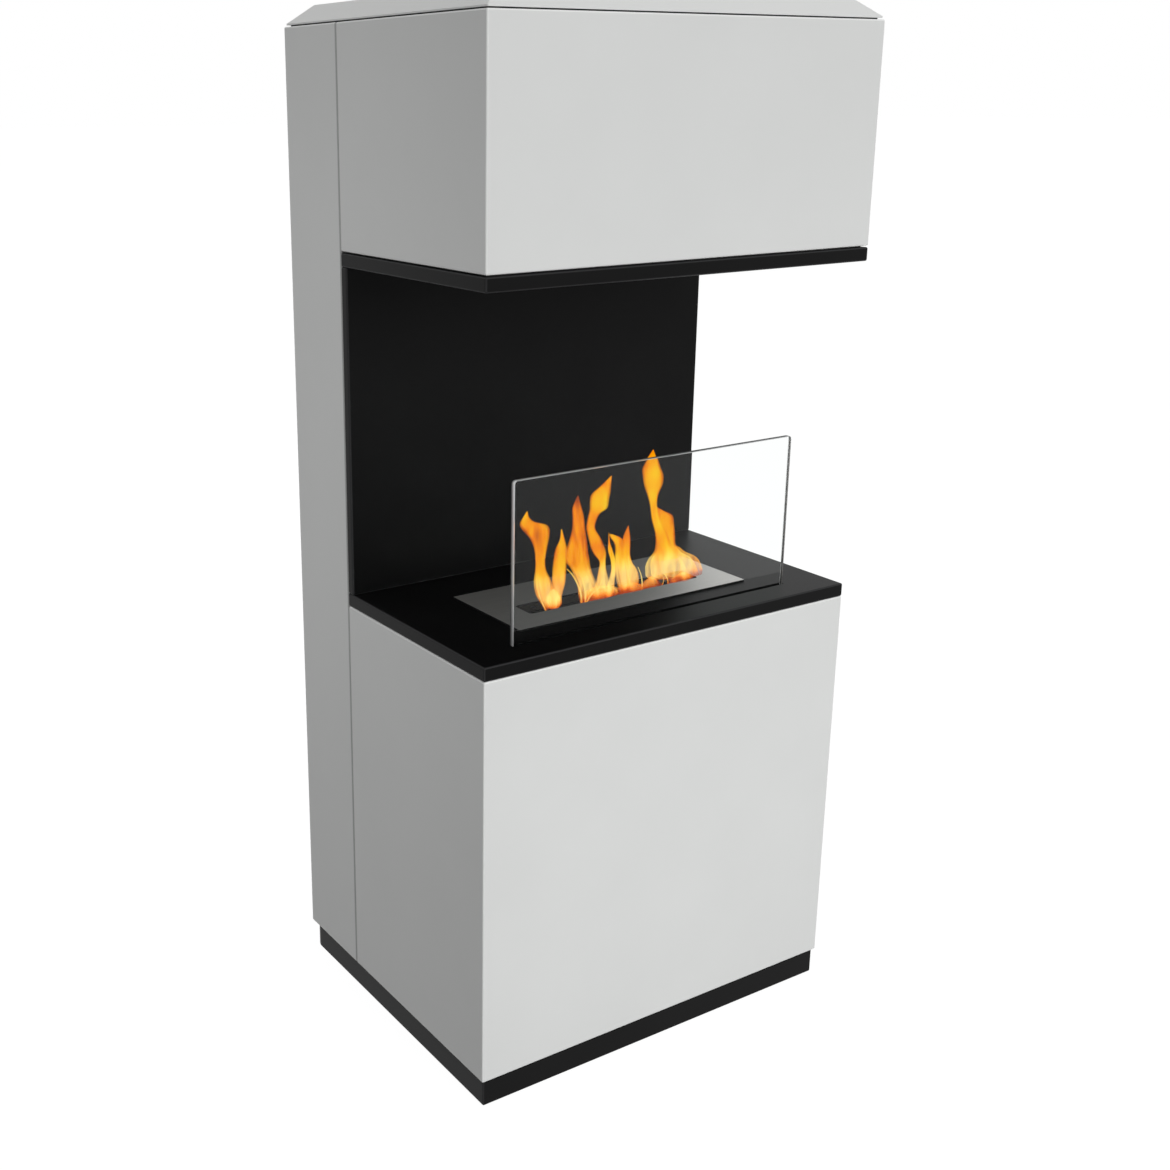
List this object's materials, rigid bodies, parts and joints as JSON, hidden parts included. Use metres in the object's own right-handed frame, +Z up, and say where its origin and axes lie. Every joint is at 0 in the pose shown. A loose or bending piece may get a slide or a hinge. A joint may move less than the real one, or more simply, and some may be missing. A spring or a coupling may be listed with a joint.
{
  "type": "bioethanol fireplace",
  "caption": "Free-standing steel bioethanol fireplace: box and hood on a rear column, open on three sides, with a drop-in burner and a glass pane.",
  "frame": {"origin": "on the floor, under the middle of the bounding box", "axes": "+X to the right seen from the front, -Y out of the front, +Z up"},
  "size_m": [0.5, 0.4018, 1.156],
  "materials": {
    "white_powder_coat": "fine satin powder coat",
    "black_powder_coat": "satin powder coat",
    "galvanised_steel": "plain galvanised sheet",
    "brushed_stainless": "brushed along the long side",
    "zinc_plated_steel": "zinc plated",
    "clear_glass": "clear tempered glass with ground edges",
    "rubber": "matt",
    "ceramic_wool": "soft white ceramic fibre",
    "insulation_board": "matt mineral board",
    "gasket": "matt dark fibre strip"
  },
  "bodies": {
    "stove": {"lower_shell": "white_powder_coat", "hood_shell": "white_powder_coat", "column_side_left": "white_powder_coat", "column_side_right": "white_powder_coat", "back_panel": "white_powder_coat", "plinth_frame": "black_powder_coat", "table_top": "black_powder_coat", "recess_panel": "black_powder_coat", "soffit_tray": "black_powder_coat", "glass_channel": "black_powder_coat", "burner_well": "black_powder_coat", "lower_floor": "galvanised_steel", "column_floor": "galvanised_steel", "firewall": "galvanised_steel", "heat_shield": "galvanised_steel", "table_rib_left": "galvanised_steel", "table_rib_right": "galvanised_steel", "plinth_bolts": "zinc_plated_steel", "seam_bolts": "zinc_plated_steel", "bolt_nuts": "zinc_plated_steel", "back_screws": "zinc_plated_steel", "recess_screws": "zinc_plated_steel", "table_screws": "zinc_plated_steel", "soffit_studs": "zinc_plated_steel", "screw_nuts": "zinc_plated_steel", "foot_pads": "rubber", "glass_pads": "rubber", "recess_board": "insulation_board", "soffit_board": "insulation_board", "soffit_gasket": "gasket"},
    "glass": {"glass_pane": "clear_glass"},
    "burner": {"burner_plate": "brushed_stainless", "burner_tank": "brushed_stainless", "burner_deck": "brushed_stainless", "shutter_guide": "brushed_stainless", "burner_wool": "ceramic_wool", "wool_screen": "brushed_stainless"},
    "shutter": {"shutter": "brushed_stainless"},
    "cap": {"top_cap": "white_powder_coat", "cap_pins": "zinc_plated_steel", "cap_seal": "gasket"}
  },
  "joints": [
    {"name": "glass_lift", "type": "slide", "parent": "stove", "child": "glass", "axis": [0, 0, 1], "range_m": [0, 0.06]},
    {"name": "burner_lift", "type": "slide", "parent": "stove", "child": "burner", "axis": [0, 0, 1], "range_m": [0, 0.1]},
    {"name": "shutter_slide", "type": "slide", "parent": "burner", "child": "shutter", "axis": [0, -1, 0], "range_m": [0, 0.017]},
    {"name": "cap_lift", "type": "slide", "parent": "stove", "child": "cap", "axis": [0, 0, 1], "range_m": [0, 0.03]}
  ]
}
